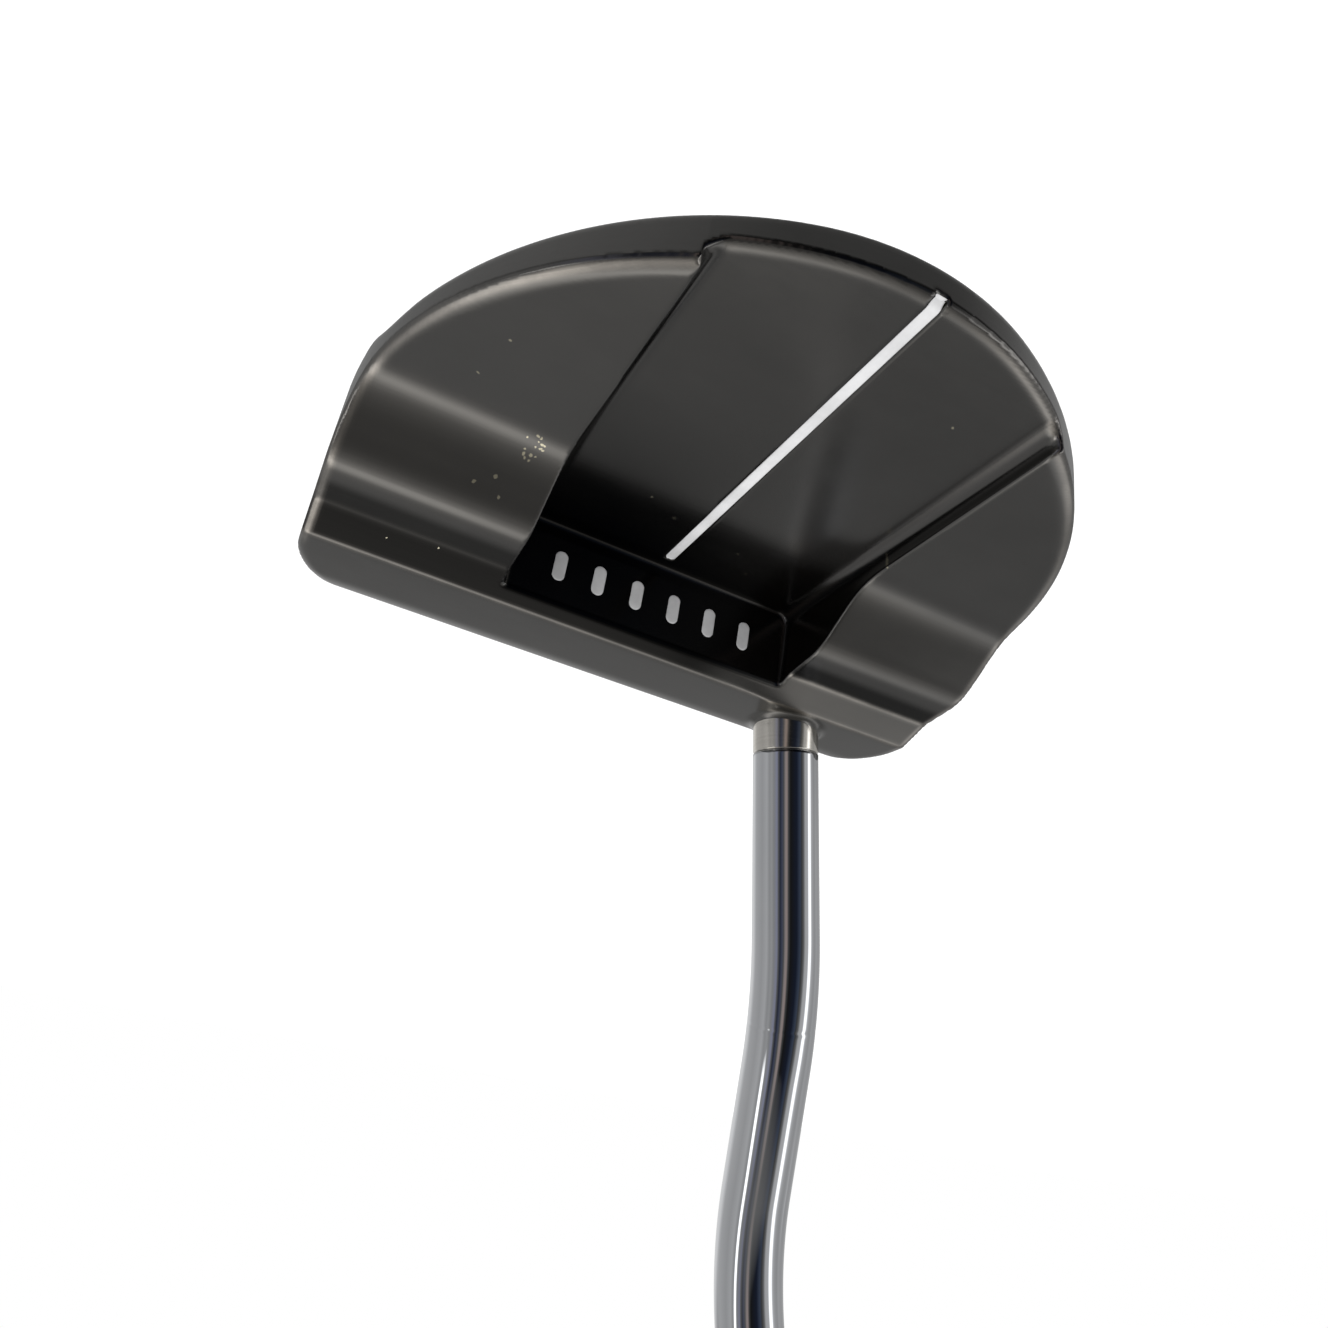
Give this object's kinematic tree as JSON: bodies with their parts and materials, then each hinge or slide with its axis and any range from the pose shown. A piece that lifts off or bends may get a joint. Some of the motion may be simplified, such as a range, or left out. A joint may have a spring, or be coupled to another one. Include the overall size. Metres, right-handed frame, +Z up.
{
  "type": "mallet putter",
  "caption": "Half-moon mallet putter with an open channel behind the topline, a white sight line, a face insert, a double-bend stepped steel shaft and a flat-front grip.",
  "frame": {"origin": "middle of the flat part of the sole, on the ground with the putter at address", "axes": "+Z up; the face looks toward -Y with its loft; -X is the toe and +X the heel of a right-handed putter; the grip rises toward +Z and +X"},
  "size_m": [0.3564, 0.0918, 0.8179],
  "materials": {
    "head_finish": "dark warm-grey satin vapour-deposited coating on steel",
    "insert_polymer": "matt urethane",
    "adhesive": "cured epoxy",
    "white_paint": "white paint fill",
    "post_steel": "satin nickel",
    "shaft_chrome": "bright chrome plate",
    "tape": "masking tape",
    "grip_rubber": "matt rubber",
    "cap_rubber": "matt rubber"
  },
  "bodies": {
    "root": {"head_body": "head_finish", "face_insert": "insert_polymer", "insert_adhesive": "adhesive", "alignment_line": "white_paint", "front_wall_marks": "white_paint", "hosel_post": "post_steel", "shaft_epoxy": "adhesive", "shaft": "shaft_chrome", "grip_tape": "tape", "grip": "grip_rubber", "grip_cap": "cap_rubber"}
  },
  "joints": []
}
